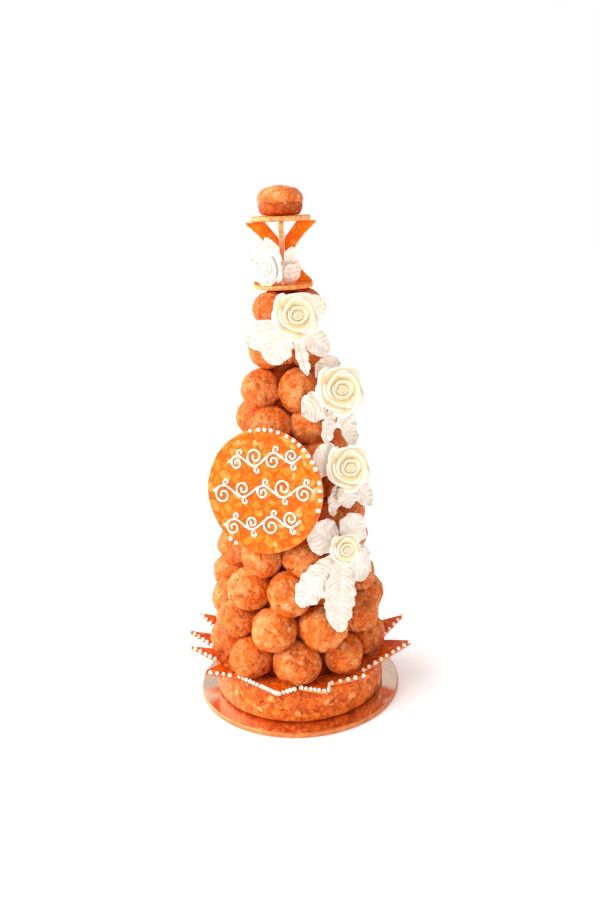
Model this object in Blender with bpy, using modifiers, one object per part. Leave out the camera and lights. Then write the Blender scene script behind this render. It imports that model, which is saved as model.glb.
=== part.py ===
"""Croquembouche: a cone of choux on a nougatine drum, dressed with a nougatine crown and plaque,
sugar roses with leaves, and a small nougatine stand that carries one last chou.

Metres, +Z up. The front faces -Y. Azimuths are degrees round the axis, from the front towards +X.
"""
import math
import random

import bmesh
import bpy
from mathutils import Matrix, Vector

GAP = 0.0003                      # left between pieces that touch

# Base
BOARD_RADIUS = 0.1013
BOARD_THICKNESS = 0.0057
DRUM_RADIUS = 0.0854
DRUM_TOP = 0.0392

# Crown of triangular plates round the drum's rim: left corner, tip, right corner, tip's radius
CROWN_PLATES = (
    (-135, -117, -108, 0.121),
    (-108, -99, -88, 0.117),
    (-88, -84, -68, 0.112),
    (-68, -55, -45, 0.113),
    (-45, -10, 0, 0.112),
    (0, 14, 20, 0.111),
    (20, 43, 46, 0.102),
    (46, 78, 92, 0.117),
    (92, 107, 118, 0.118),
    (118, 132, 145, 0.115),
    (145, 157, 172, 0.118),
    (172, 187, 198, 0.114),
    (198, 212, 225, 0.117),
)
CROWN_THICKNESS = 0.0040
CROWN_INNER_RADIUS = 0.0840
CROWN_SLOPE = 18                  # degrees that a plate rises outwards
CROWN_CORNER_TRIM = 0.6           # degrees left free at each corner
CROWN_ARC_STEPS = 4

# Cone of choux: height of the ring's centres, choux in the ring, azimuth of its first one
CHOUX_TIERS = (
    (0.0600, 9, -1),
    (0.0935, 9, -19),
    (0.1280, 9, -5),
    (0.1600, 8, -33),
    (0.1900, 8, -10),
    (0.2210, 7, 13),
    (0.2515, 6, -15),
    (0.2815, 5, -32),
    (0.3130, 4, -68),
    (0.3500, 3, -60),
    (0.3880, 3, -40),
)
CHOU_RADIUS = 0.0205
CHOU_FIT = 0.975                  # how tightly the choux of one ring sit side by side
CONE_TOP_RADIUS = 0.0346
CONE_FOOT_RADIUS = 0.0870
CONE_TAPER = 0.195                # radius lost for each metre of height
CONE_APEX = 0.5376                # height where the tapering line meets the axis
CORE_DEPTH = 0.85                 # how far the joints between choux reach in, in chou radii
CHOU_SEGMENTS = 7
CHOU_RINGS = 5

# Plaque leaning on the cone
PLAQUE_RADIUS = 0.0575
PLAQUE_THICKNESS = 0.0040
PLAQUE_AZIMUTH = -23.4
PLAQUE_HEIGHT = 0.2290
PLAQUE_CLEARANCE = 0.0006

# Sprays of sugar flowers. They lie on a sheet that touches the cone along one line and bends away.
SPRAY_AZIMUTH = 20
SPRAY_BEND = 0.090                # radius that the sheet bends round
# Each spray: place of its rose (across, height), the rose's radius, and its leaves, each with its
# direction clockwise from straight up, its reach from the rose's centre, its width and its layer.
SPRAYS = (
    (-0.0069, 0.3815, 0.0208, (
        (72, 0.036, 0.024, 0), (135, 0.047, 0.023, 1), (170, 0.050, 0.011, 2),
        (212, 0.044, 0.027, 1), (243, 0.045, 0.026, 0))),
    (0.0312, 0.3126, 0.0225, (
        (345, 0.034, 0.030, 0), (249, 0.040, 0.027, 1), (201, 0.047, 0.014, 0),
        (163, 0.055, 0.020, 1))),
    (0.0319, 0.2432, 0.0208, (
        (300, 0.037, 0.032, 1), (207, 0.043, 0.014, 0), (178, 0.035, 0.026, 1),
        (143, 0.052, 0.022, 0))),
    (0.0199, 0.1718, 0.0145, (
        (312, 0.040, 0.033, 1), (38, 0.036, 0.034, 2), (136, 0.043, 0.034, 0),
        (228, 0.064, 0.029, 0), (190, 0.073, 0.032, 1))),
)
ROSE_FACE_TILT = 14               # degrees that a rose looks up
ROSE_LIFT = 0.0098                # height of a rose's petals over the sheet
ROSE_STEM = 0.30                  # stem's radius, in rose radii
ROSE_SIDES = 12
ROSE_PETAL_WAVES = 5
PETAL_RIPPLE = 0.03               # in rose radii
LEAF_START = 0.60                 # where a leaf begins, in rose radii from the rose's centre
LEAF_THICKNESS = 0.0010
LEAF_LIFT = 0.0016
LEAF_LAYER_STEP = 0.0026
LEAF_FOLD = 0.0012
LEAF_STATIONS = 5

# Stand on top of the cone, of nougatine
COLLAR_RADIUS = 0.0279
COLLAR_BOTTOM = 0.4050
COLLAR_TOP = 0.4090
FIN_THICKNESS = 0.0040
FIN_WAIST_HEIGHT = 0.4350
FIN_WAIST_RADIUS = 0.0100
FIN_TOP_RADIUS = 0.0315
FIN_FOOT_RADIUS = 0.0270
FIN_TOP_OPENING = 0.0145
FIN_FOOT_OPENING = 0.0110
FIN_STEPS = 5
TOP_PLATE_RADIUS = 0.0273
TOP_PLATE_BOTTOM = 0.4640
TOP_PLATE_TOP = 0.4685
CROWNING_CHOU_RADIUS = 0.0210
CROWNING_CHOU_TOP = 0.4950

# Sugar flowers between the fins
TOP_ROSE_AZIMUTH = -45
TOP_ROSE_FACING = -36
TOP_ROSE_DISTANCE = 0.0165
TOP_ROSE_HEIGHT = 0.4250
TOP_ROSE_RADIUS = 0.0150
TOP_ROSE_STEM = 0.0070
TOP_LEAVES = (                    # azimuth, distance from the axis, foot, length, width
    (-45, 0.0095, 0.4345, 0.0190, 0.0075),
    (38, 0.0125, 0.4096, 0.0350, 0.0105),
)

NOUGATINE = ("nougatine", (0.60, 0.20, 0.035), 0.28, 0.0)
CRUST = ("choux_crust", (0.62, 0.27, 0.075), 0.55, 0.0)
SUGAR = ("sugar_paste", (0.90, 0.86, 0.78), 0.45, 0.0)
PETAL = ("sugar_petal", (0.93, 0.84, 0.62), 0.45, 0.0)
MIRROR = ("mirror_board", (0.85, 0.85, 0.87), 0.08, 1.0)


def clear_scene():
    for item in list(bpy.data.objects):
        bpy.data.objects.remove(item, do_unlink=True)


def new_collection(name):
    collection = bpy.data.collections.new(name)
    bpy.context.scene.collection.children.link(collection)
    return collection


def get_material(look):
    name, colour, roughness, metallic = look
    if name in bpy.data.materials:
        return bpy.data.materials[name]
    material = bpy.data.materials.new(name)
    material.use_nodes = True
    shader = material.node_tree.nodes["Principled BSDF"]
    shader.inputs["Base Color"].default_value = (*colour, 1.0)
    shader.inputs["Roughness"].default_value = roughness
    shader.inputs["Metallic"].default_value = metallic
    return material


def add_object(name, mesh, collection, look=None):
    item = bpy.data.objects.new(name, mesh)
    collection.objects.link(item)
    if look:
        mesh.materials.append(get_material(look))
    return item


def mesh_from(bm, name):
    bmesh.ops.recalc_face_normals(bm, faces=bm.faces)
    mesh = bpy.data.meshes.new(name)
    bm.to_mesh(mesh)
    bm.free()
    return mesh


def ring_point(azimuth, radius, height):
    angle = math.radians(azimuth)
    return Vector((radius * math.sin(angle), -radius * math.cos(angle), height))


def outward(azimuth):
    return ring_point(azimuth, 1.0, 0.0)


def sideways(azimuth):
    return ring_point(azimuth + 90, 1.0, 0.0)


def frame_matrix(origin, x_axis, y_axis, z_axis):
    rotation = Matrix((x_axis, y_axis, z_axis)).transposed().to_4x4()
    return Matrix.Translation(origin) @ rotation


def cone_radius(height):
    return min(CONE_FOOT_RADIUS, max(CONE_TOP_RADIUS, CONE_TAPER * (CONE_APEX - height)))


def make_disc(name, radius, bottom, top, sides, look):
    bm = bmesh.new()
    middle = Matrix.Translation((0.0, 0.0, (bottom + top) / 2))
    bmesh.ops.create_cone(bm, cap_ends=True, segments=sides, radius1=radius, radius2=radius,
                          depth=top - bottom, matrix=middle)
    add_object(name, mesh_from(bm, name), PARTS, look)


def turned_mesh(name, profile, sides):
    """Closed turned mesh from (radius, height) points that run from the top down to the bottom."""
    outline = bpy.data.meshes.new(name + "_profile")
    points = [(radius, 0.0, height) for radius, height in profile]
    outline.from_pydata(points, [(i, i + 1) for i in range(len(points) - 1)], [])
    helper = add_object(name + "_profile", outline, PARTS)
    screw = helper.modifiers.new("turn", "SCREW")
    screw.steps = sides
    screw.render_steps = sides
    screw.use_merge_vertices = True
    screw.merge_threshold = 0.00001
    bpy.context.view_layer.update()
    turned = bpy.data.meshes.new_from_object(helper.evaluated_get(bpy.context.evaluated_depsgraph_get()))
    bpy.data.objects.remove(helper, do_unlink=True)
    bm = bmesh.new()
    bm.from_mesh(turned)
    bmesh.ops.remove_doubles(bm, verts=bm.verts, dist=0.00001)
    bpy.data.meshes.remove(turned)
    return mesh_from(bm, name)


def flat_plate(name, outline, thickness, placement, look):
    """Plate from a flat outline in its own XY plane, centred on that plane, then placed."""
    curve = bpy.data.curves.new(name, "CURVE")
    curve.dimensions = "2D"
    curve.fill_mode = "BOTH"
    curve.extrude = thickness / 2
    spline = curve.splines.new("POLY")
    spline.points.add(len(outline) - 1)
    for point, (x, y) in zip(spline.points, outline):
        point.co = (x, y, 0.0, 1.0)
    spline.use_cyclic_u = True
    curve.materials.append(get_material(look))
    plate = bpy.data.objects.new(name, curve)
    PARTS.objects.link(plate)
    plate.matrix_world = placement
    return plate


# ---------------------------------------------------------------- base and crown

def make_base():
    make_disc("cake_board", BOARD_RADIUS, 0.0, BOARD_THICKNESS, 56, MIRROR)
    make_disc("nougatine_drum", DRUM_RADIUS, BOARD_THICKNESS + GAP, DRUM_TOP, 48, NOUGATINE)


def make_crown_plate(number, left, tip, right, reach):
    left += CROWN_CORNER_TRIM
    right -= CROWN_CORNER_TRIM
    middle = (left + right) / 2
    half_span = math.radians(right - left) / 2
    chord_distance = CROWN_INNER_RADIUS * math.cos(half_span)
    slope = math.radians(CROWN_SLOPE)
    base_height = DRUM_TOP + GAP + CROWN_THICKNESS / 2

    outline = []
    for step in range(CROWN_ARC_STEPS + 1):
        angle = half_span * (2 * step / CROWN_ARC_STEPS - 1)
        across = CROWN_INNER_RADIUS * math.sin(angle)
        beyond = CROWN_INNER_RADIUS * math.cos(angle) - chord_distance
        outline.append((across, beyond / math.cos(slope)))
    tip_angle = math.radians(tip - middle)
    outline.append((reach * math.sin(tip_angle),
                    (reach * math.cos(tip_angle) - chord_distance) / math.cos(slope)))

    rise = (outward(middle) * math.cos(slope) + Vector((0.0, 0.0, math.sin(slope)))).normalized()
    across_axis = sideways(middle)
    placement = frame_matrix(ring_point(middle, chord_distance, base_height),
                             across_axis, rise, across_axis.cross(rise))
    flat_plate(f"crown_plate_{number:02d}", outline, CROWN_THICKNESS, placement, NOUGATINE)


# ---------------------------------------------------------------- cone of choux

def tier_sizes(tier):
    """Chou radius and radius of the ring of chou centres, so that the ring just closes."""
    height, count, _ = tier
    share = CHOU_FIT * math.sin(math.pi / count)
    outer = cone_radius(height)
    chou = min(CHOU_RADIUS, share * outer / (1 + share))
    return chou, outer - chou


def ring_of_choux(name, tier, swell):
    """Mesh of one ring's choux, each a little different, grown by swell all round."""
    height, count, first_azimuth = tier
    chou, ring = tier_sizes(tier)
    rng = random.Random(name_seed(tier))
    bm = bmesh.new()
    for index in range(count):
        azimuth = first_azimuth + index * 360 / count
        size = chou * rng.uniform(0.96, 1.0)
        squash = rng.uniform(0.93, 1.0)
        turn = Matrix.Rotation(rng.uniform(0, math.tau), 4, "Z")
        shape = Matrix.Diagonal((size + swell, size + swell, size * squash + swell, 1.0))
        place = Matrix.Translation(ring_point(azimuth, ring, height))
        bmesh.ops.create_uvsphere(bm, u_segments=CHOU_SEGMENTS, v_segments=CHOU_RINGS, radius=1.0,
                                  matrix=place @ shape @ turn)
    return mesh_from(bm, name)


def name_seed(tier):
    return round(tier[0] * 10000)


def core_profile(index):
    """Turned middle of a tier: a disc that joins its choux, with a hub that fills the next ring."""
    height = CHOUX_TIERS[index][0]
    chou, ring = tier_sizes(CHOUX_TIERS[index])
    disc_radius = ring + (1 - CORE_DEPTH) * chou
    disc_bottom = disc_floor(index)
    if index + 1 == len(CHOUX_TIERS):
        disc_top = height + 0.6 * chou
        return [(0.0, disc_top), (disc_radius, disc_top), (disc_radius, disc_bottom), (0.0, disc_bottom)]
    next_chou, next_ring = tier_sizes(CHOUX_TIERS[index + 1])
    hub_top = disc_floor(index + 1) - GAP
    disc_top = min(CHOUX_TIERS[index + 1][0] - next_chou - 1.5 * GAP, hub_top)
    profile = [(disc_radius, disc_top), (disc_radius, disc_bottom), (0.0, disc_bottom)]
    hub_radius = next_ring - next_chou - 4 * GAP
    if hub_radius > 0.2 * chou and hub_top > disc_top + 4 * GAP:
        return [(0.0, hub_top), (hub_radius, hub_top), (hub_radius, disc_top)] + profile
    return [(0.0, disc_top)] + profile


def disc_floor(index):
    if index == 0:
        return DRUM_TOP + GAP
    below = CHOUX_TIERS[index - 1]
    return below[0] + tier_sizes(below)[0] + 2 * GAP


def add_boolean(item, operand, operation):
    step = item.modifiers.new(operand.name, "BOOLEAN")
    step.operation = operation
    step.solver = "EXACT"
    step.object = operand


def add_cutter(name, mesh):
    cutter = add_object(name, mesh, CUTTERS)
    cutter.hide_render = True
    cutter.display_type = "WIRE"
    return cutter


def make_choux_tiers():
    for index, tier in enumerate(CHOUX_TIERS):
        name = f"choux_tier_{index + 1:02d}"
        count, first_azimuth = tier[1], tier[2]
        sides = count * math.ceil(6 / count)
        core = turned_mesh(name, core_profile(index), sides)
        core.transform(Matrix.Rotation(math.radians(first_azimuth + 180 / sides - 90), 4, "Z"))
        body = add_object(name, core, PARTS, CRUST)
        add_boolean(body, add_cutter(f"{name}_choux", ring_of_choux(f"{name}_choux", tier, 0.0)), "UNION")
        if index > 0:
            below = CHOUX_TIERS[index - 1]
            hollow = ring_of_choux(f"{name}_hollows", below, GAP)
            add_boolean(body, add_cutter(f"{name}_hollows", hollow), "DIFFERENCE")


# ---------------------------------------------------------------- plaque

def make_plaque():
    slope = math.atan(CONE_TAPER)
    facing = outward(PLAQUE_AZIMUTH) * math.cos(slope) + Vector((0.0, 0.0, math.sin(slope)))
    across = sideways(PLAQUE_AZIMUTH)
    distance = PLAQUE_THICKNESS / 2 + PLAQUE_CLEARANCE
    centre = ring_point(PLAQUE_AZIMUTH, cone_radius(PLAQUE_HEIGHT), PLAQUE_HEIGHT) + facing * distance
    bm = bmesh.new()
    placement = frame_matrix(centre, across, facing.cross(across), facing)
    bmesh.ops.create_cone(bm, cap_ends=True, segments=48, radius1=PLAQUE_RADIUS,
                          radius2=PLAQUE_RADIUS, depth=PLAQUE_THICKNESS, matrix=placement)
    add_object("plaque", mesh_from(bm, "plaque"), PARTS, NOUGATINE)


# ---------------------------------------------------------------- sugar flowers

def spray_point(across, height, lift):
    """Point of the sheet that the sprays lie on, at a distance across from its touching line."""
    distance = cone_radius(height) + lift - across ** 2 / (2 * SPRAY_BEND)
    return outward(SPRAY_AZIMUTH) * distance + sideways(SPRAY_AZIMUTH) * across + Vector((0, 0, height))


def column_point(azimuth, distance):
    """Maker of points on an upright flat sheet, for the leaves between the fins."""
    def place(across, height, lift):
        return outward(azimuth) * (distance + lift) + sideways(azimuth) * across + Vector((0, 0, height))
    return place


def make_leaf(name, place, root, direction, length, width, lift, fold):
    """Pleated leaf with a saw edge, folded along its midrib, laid on the sheet given by place."""
    angle = math.radians(direction)
    along = Vector((math.sin(angle), math.cos(angle)))
    across = Vector((along.y, -along.x))
    bm = bmesh.new()
    rows = []
    for station in range(LEAF_STATIONS + 1):
        share = station / LEAF_STATIONS
        swell = math.sin(math.pi * (0.10 + 0.82 * share)) ** 0.8
        tooth = 1.06 if station % 2 else 0.96
        half = width / 2 * swell * tooth
        row = []
        for side in (-1, 0, 1):
            spot = root + along * (length * share) + across * (half * side)
            row.append(bm.verts.new(place(spot.x, spot.y, lift + abs(side) * fold)))
        rows.append(row)
    for near, far in zip(rows, rows[1:]):
        for side in (0, 1):
            bm.faces.new((near[side], near[side + 1], far[side + 1], far[side]))
    leaf = add_object(name, mesh_from(bm, name), PARTS, SUGAR)
    thickness = leaf.modifiers.new("thickness", "SOLIDIFY")
    thickness.thickness = LEAF_THICKNESS
    thickness.offset = 0.0
    thickness.use_even_offset = False


def rose_profile(radius, stem):
    """Half section of a rose, from its heart down over the petals' lips to the foot of its stem."""
    lips = [(0.00, 0.44), (0.16, 0.56), (0.25, 0.34), (0.42, 0.50), (0.50, 0.24), (0.70, 0.38),
            (0.79, 0.12), (1.00, 0.20), (0.96, 0.07), (0.46, 0.00)]
    profile = [(radius * across, radius * rise) for across, rise in lips]
    profile += [(radius * ROSE_STEM, -stem), (0.0, -stem)]
    return profile


def make_rose(name, centre, facing, radius, stem):
    mesh = turned_mesh(name, rose_profile(radius, stem), ROSE_SIDES)
    for vertex in mesh.vertices:
        reach = math.hypot(vertex.co.x, vertex.co.y) / radius
        if vertex.co.z > 0 and reach > 0.3:
            turn = ROSE_PETAL_WAVES * math.atan2(vertex.co.y, vertex.co.x) + 7 * reach
            wave = math.cos(turn)
            vertex.co.x *= 1 + PETAL_RIPPLE * (wave - 1)
            vertex.co.y *= 1 + PETAL_RIPPLE * (wave - 1)
            vertex.co.z += PETAL_RIPPLE * radius * math.sin(turn)
    across = Vector((0.0, 0.0, 1.0)).cross(facing).normalized()
    mesh.transform(frame_matrix(centre, across, facing.cross(across), facing))
    add_object(name, mesh, PARTS, PETAL)


def make_sprays():
    tilt = math.radians(ROSE_FACE_TILT)
    facing = outward(SPRAY_AZIMUTH) * math.cos(tilt) + Vector((0.0, 0.0, math.sin(tilt)))
    leaf_number = 0
    for number, (across, height, radius, leaves) in enumerate(SPRAYS, start=1):
        centre = spray_point(across, height, 0.0) + facing * ROSE_LIFT
        make_rose(f"rose_{number}", centre, facing, radius, ROSE_LIFT - 4 * GAP)
        for direction, reach, width, layer in leaves:
            leaf_number += 1
            start = radius * LEAF_START
            angle = math.radians(direction)
            along = Vector((math.sin(angle), math.cos(angle)))
            root = Vector((across, height)) + along * start
            lift = LEAF_LIFT + LEAF_LAYER_STEP * layer
            make_leaf(f"leaf_{leaf_number:02d}", spray_point, root, direction, reach - start,
                      width, lift, LEAF_FOLD)


# ---------------------------------------------------------------- stand on top

def fin_outline():
    """Half of an hourglass: a horn above and a foot below, open towards the axis at both ends."""
    foot = COLLAR_TOP + GAP
    head = TOP_PLATE_BOTTOM - GAP
    inner = FIN_THICKNESS / 2 + GAP
    throat = 0.22
    outer_edge = []
    inner_edge = []
    for step in range(-FIN_STEPS, FIN_STEPS + 1):
        share = abs(step) / FIN_STEPS
        if step < 0:
            end, end_radius, opening = foot, FIN_FOOT_RADIUS, FIN_FOOT_OPENING
        else:
            end, end_radius, opening = head, FIN_TOP_RADIUS, FIN_TOP_OPENING
        height = FIN_WAIST_HEIGHT + (end - FIN_WAIST_HEIGHT) * share
        outer_edge.append((FIN_WAIST_RADIUS + (end_radius - FIN_WAIST_RADIUS) * share ** 1.5, height))
        spread = max(0.0, share - throat) / (1 - throat)
        inner_edge.append((inner + (opening - inner) * spread ** 1.3, height))
    return outer_edge + inner_edge[::-1]


def make_stand():
    make_disc("collar", COLLAR_RADIUS, COLLAR_BOTTOM, COLLAR_TOP, 40, NOUGATINE)
    make_disc("top_plate", TOP_PLATE_RADIUS, TOP_PLATE_BOTTOM, TOP_PLATE_TOP, 40, NOUGATINE)
    for number in range(4):
        azimuth = 90 * number
        up = Vector((0.0, 0.0, 1.0))
        placement = frame_matrix(Vector((0.0, 0.0, 0.0)), outward(azimuth), up,
                                 outward(azimuth).cross(up))
        flat_plate(f"fin_{number + 1}", fin_outline(), FIN_THICKNESS, placement, NOUGATINE)


def make_crowning_chou():
    foot = TOP_PLATE_TOP + GAP
    seam = 0.4800
    body = [(0.90, seam), (0.90, 0.5 * (foot + seam)), (0.84, foot + 0.0015), (0.76, foot), (0.0, foot)]
    steps = 5
    profile = []
    for step in range(steps + 1):
        angle = math.radians(90 * step / steps)
        profile.append((CROWNING_CHOU_RADIUS * math.sin(angle) ** 0.8,
                        seam + 0.002 + (CROWNING_CHOU_TOP - seam - 0.002) * math.cos(angle)))
    profile += [(CROWNING_CHOU_RADIUS * share, height) for share, height in body]
    add_object("crowning_chou", turned_mesh("crowning_chou", profile, 14), PARTS, CRUST)


def make_top_flowers():
    centre = ring_point(TOP_ROSE_AZIMUTH, TOP_ROSE_DISTANCE, TOP_ROSE_HEIGHT)
    make_rose("top_rose", centre, outward(TOP_ROSE_FACING), TOP_ROSE_RADIUS, TOP_ROSE_STEM)
    for number, (azimuth, distance, foot, length, width) in enumerate(TOP_LEAVES, start=1):
        make_leaf(f"top_leaf_{number}", column_point(azimuth, distance), Vector((0.0, foot)), 0,
                  length, width, 0.0, LEAF_FOLD)


clear_scene()
PARTS = new_collection("croquembouche")
CUTTERS = new_collection("cutters")
make_base()
for plate_number, (left_corner, tip_azimuth, right_corner, tip_radius) in enumerate(CROWN_PLATES, 1):
    make_crown_plate(plate_number, left_corner, tip_azimuth, right_corner, tip_radius)
make_choux_tiers()
make_plaque()
make_sprays()
make_stand()
make_crowning_chou()
make_top_flowers()
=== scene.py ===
"""The looks of the croquembouche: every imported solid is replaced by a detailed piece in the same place.

All sizes are in metres. Azimuths are degrees from the front (-Y) towards the right (+X).
"""
import itertools
import math
import random

import bpy
import numpy as np
from mathutils import Matrix, Vector
from mathutils.geometry import delaunay_2d_cdt


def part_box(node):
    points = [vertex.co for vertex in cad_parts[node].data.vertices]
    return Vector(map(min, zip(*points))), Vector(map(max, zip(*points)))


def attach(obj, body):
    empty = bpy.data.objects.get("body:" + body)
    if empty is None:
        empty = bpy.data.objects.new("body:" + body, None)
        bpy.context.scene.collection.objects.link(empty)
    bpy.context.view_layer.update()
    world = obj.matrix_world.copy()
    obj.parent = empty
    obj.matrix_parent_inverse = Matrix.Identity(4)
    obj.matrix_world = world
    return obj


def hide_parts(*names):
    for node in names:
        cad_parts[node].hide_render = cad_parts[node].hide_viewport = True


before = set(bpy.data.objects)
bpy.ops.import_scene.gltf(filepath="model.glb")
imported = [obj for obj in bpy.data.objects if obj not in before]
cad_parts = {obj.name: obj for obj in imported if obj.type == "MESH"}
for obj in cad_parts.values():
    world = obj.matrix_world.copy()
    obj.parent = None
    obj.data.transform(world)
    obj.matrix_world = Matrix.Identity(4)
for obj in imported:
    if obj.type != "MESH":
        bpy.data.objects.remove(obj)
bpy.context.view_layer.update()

# The driving sizes, repeated from part.py.
GAP = 0.0003
CROWN_PLATES = (  # left corner, tip and right corner in degrees, tip radius
    (-135, -117, -108, 0.121), (-108, -99, -88, 0.117), (-88, -84, -68, 0.112), (-68, -55, -45, 0.113),
    (-45, -10, 0, 0.112), (0, 14, 20, 0.111), (20, 43, 46, 0.102), (46, 78, 92, 0.117), (92, 107, 118, 0.118),
    (118, 132, 145, 0.115), (145, 157, 172, 0.118), (172, 187, 198, 0.114), (198, 212, 225, 0.117),
)
CROWN_THICKNESS = 0.0040
CROWN_INNER_RADIUS = 0.0840
CROWN_SLOPE = math.radians(18)
CHOUX_TIERS = (  # height of the centres, number of choux, azimuth of the first
    (0.0600, 9, -1), (0.0935, 9, -19), (0.1280, 9, -5), (0.1600, 8, -33), (0.1900, 8, -10), (0.2210, 7, 13),
    (0.2515, 6, -15), (0.2815, 5, -32), (0.3130, 4, -68), (0.3500, 3, -60), (0.3880, 3, -40),
)
CHOU_RADIUS = 0.0205
CHOU_FIT = 0.975
CONE_TOP_RADIUS = 0.0346
CONE_FOOT_RADIUS = 0.0870
CONE_TAPER = 0.195
CONE_APEX = 0.5376
PLAQUE_RADIUS = 0.0575
PLAQUE_THICKNESS = 0.0040
PLAQUE_AZIMUTH = -23.4
PLAQUE_HEIGHT = 0.2290
PLAQUE_CLEARANCE = 0.0006
SPRAY_AZIMUTH = 20
SPRAY_BEND = 0.090
SPRAYS = (  # rose across and height, its radius, leaves: direction clockwise from up, reach, width, layer
    (-0.0069, 0.3815, 0.0208, ((72, 0.036, 0.024, 0), (135, 0.047, 0.023, 1), (170, 0.050, 0.011, 2),
                               (212, 0.044, 0.027, 1), (243, 0.045, 0.026, 0))),
    (0.0312, 0.3126, 0.0225, ((345, 0.034, 0.030, 0), (249, 0.040, 0.027, 1), (201, 0.047, 0.014, 0),
                              (163, 0.055, 0.020, 1))),
    (0.0319, 0.2432, 0.0208, ((300, 0.037, 0.032, 1), (207, 0.043, 0.014, 0), (178, 0.035, 0.026, 1),
                              (143, 0.052, 0.022, 0))),
    (0.0199, 0.1718, 0.0145, ((312, 0.040, 0.033, 1), (38, 0.036, 0.034, 2), (136, 0.043, 0.034, 0),
                              (228, 0.064, 0.029, 0), (190, 0.073, 0.032, 1))),
)
ROSE_FACE_TILT = 14
ROSE_LIFT = 0.0098
ROSE_STEM = 0.30
LEAF_START = 0.60
LEAF_THICKNESS = 0.0010
LEAF_LIFT = 0.0016
LEAF_LAYER_STEP = 0.0026
LEAF_FOLD = 0.0012
FIN_WAIST_HEIGHT = 0.4350
FIN_WAIST_RADIUS = 0.0100
FIN_TOP_RADIUS = 0.0315
FIN_FOOT_RADIUS = 0.0270
FIN_TOP_OPENING = 0.0145
FIN_FOOT_OPENING = 0.0110
FIN_THICKNESS = 0.0040
CROWNING_CHOU_RADIUS = 0.0210
TOP_ROSE_AZIMUTH = -45
TOP_ROSE_HEIGHT = 0.4250
TOP_ROSE_STEM = 0.0070

# The top rose is a little larger and further out than its CAD solid.
TOP_ROSE_FACING = -30
TOP_ROSE_DISTANCE = 0.0172
TOP_ROSE_RADIUS = 0.0170

# Sizes of the detail that only this script makes.
CHOU_GRID = 25
FEW_CHOUX = 3  # rings of this many or fewer get more choux behind them, to close the gaps
PEARL_RADIUS = 0.0019
PEARL_STEP = 0.0060
WIDE_PEARL_STEP = 0.0076
CLOSE_PEARL_STEP = 0.0040
PEARL_SIDES, PEARL_RINGS = 12, 7
PLAQUE_PEARLS = (104, 97, 90, 83, 76, 68, 60, 53, 46, 39, 32, 25, 14, 6, -3, -12, 237, 243)  # degrees
ALMOND_LENGTH = 0.0120
ALMOND_HALF = 0.0005  # half the thickness of a slice
DRUM_ALMONDS, PLAQUE_ALMONDS = 22, 20
PIPING_RADIUS = 0.00085
LINE_RADIUS = 0.0013
VINE_STEPS = 80
CORE_TOP = 0.4045  # top of the dark core inside the highest ring of choux: caramel, and painted shade between the choux
CORE_RADIUS = 0.008
SHEET_RIM = 0.35  # thickness of a petal's or leaf's rim, as a share of the rest
PETAL_THICKNESS = 0.0009
LEAF_TEETH = 22
LEAF_PLEAT = 0.0048  # from one pleat to the next
FIN_THROAT = 0.0023  # from the axis to a fin's inner edge at its waist
FIN_THIN_BELOW = 0.424  # the fins are thinner below this height, where flowers hide them
BUN_SEAM = 0.4795  # height where the bun's cap meets its body
BUN_PROFILE = (  # share of the bun's radius, height
    (0.965, 0.4775), (0.950, 0.4797), (0.982, 0.4808), (0.992, 0.4832), (0.955, 0.4866), (0.84, 0.4899),
    (0.64, 0.4926),
)
TIP_ROUNDING = 0.0042
LINED_TIP = 14  # the crown sheet whose right edge carries a piped line instead of pearls
DOUBLE_TIP = -10  # the crown sheet with pearls on both edges, which are bevelled and not rounded


# ---- numbers and noise
def unit(vectors):
    """The vectors scaled to length one."""
    return vectors / np.maximum(np.linalg.norm(vectors, axis=-1, keepdims=True), 1e-12)


def outward(azimuth):
    """Horizontal unit vector away from the axis at an azimuth in degrees."""
    return np.array((math.sin(math.radians(azimuth)), -math.cos(math.radians(azimuth)), 0.0))


def sideways(azimuth):
    """Horizontal unit vector at right angles to outward, towards larger azimuths."""
    return np.array((math.cos(math.radians(azimuth)), math.sin(math.radians(azimuth)), 0.0))


UP = np.array((0.0, 0.0, 1.0))


def hashed(cell, seed):
    """Even values from 0 to 1 for whole-number lattice points."""
    n = cell @ np.array((73856093, 19349663, 83492791)) + seed * 26544357
    n = ((n ^ (n >> 13)) * 1274126177) & 0x7FFFFFFF
    n = ((n ^ (n >> 11)) * 668265263) & 0x7FFFFFFF
    return ((n >> 7) & 0xFFFF) / 0xFFFF


def cloud(points, size, seed):
    """Smooth noise from -1 to 1 with blobs about size across."""
    at = points / size
    low = np.floor(at).astype(np.int64)
    part = at - low
    part = part * part * (3 - 2 * part)
    total = np.zeros(len(points))
    for corner in itertools.product((0, 1), repeat=3):
        weight = np.prod(np.where(corner, part, 1 - part), axis=1)
        total += weight * hashed(low + np.array(corner), seed)
    return 2 * total - 1


def clouds(points, size, seed, octaves=3):
    """Noise from about -1 to 1 with finer and fainter octaves added."""
    total = sum(cloud(points, size / 2**k, seed + k) / 2**k for k in range(octaves))
    return total / (2 - 0.5 ** (octaves - 1))


def smoothed(values, steps):
    """A row of points with rounded corners (Catmull-Rom), as steps points for each span."""
    rows = np.asarray(values, float)
    rows = np.vstack((2 * rows[0] - rows[1], rows, 2 * rows[-1] - rows[-2]))
    made = []
    for a, b, c, d in zip(rows, rows[1:], rows[2:], rows[3:]):
        for t in np.arange(steps) / steps:
            squared, cubed = 2 * a - 5 * b + 4 * c - d, 3 * b - a - 3 * c + d
            made.append(0.5 * (2 * b + (c - a) * t + squared * t**2 + cubed * t**3))
    return np.array(made + [rows[-2]])


def cone_radius(height):
    """Outer radius of the tower of choux at a height, or at each of an array of heights."""
    return np.clip(CONE_TAPER * (CONE_APEX - height), CONE_TOP_RADIUS, CONE_FOOT_RADIUS)


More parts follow.
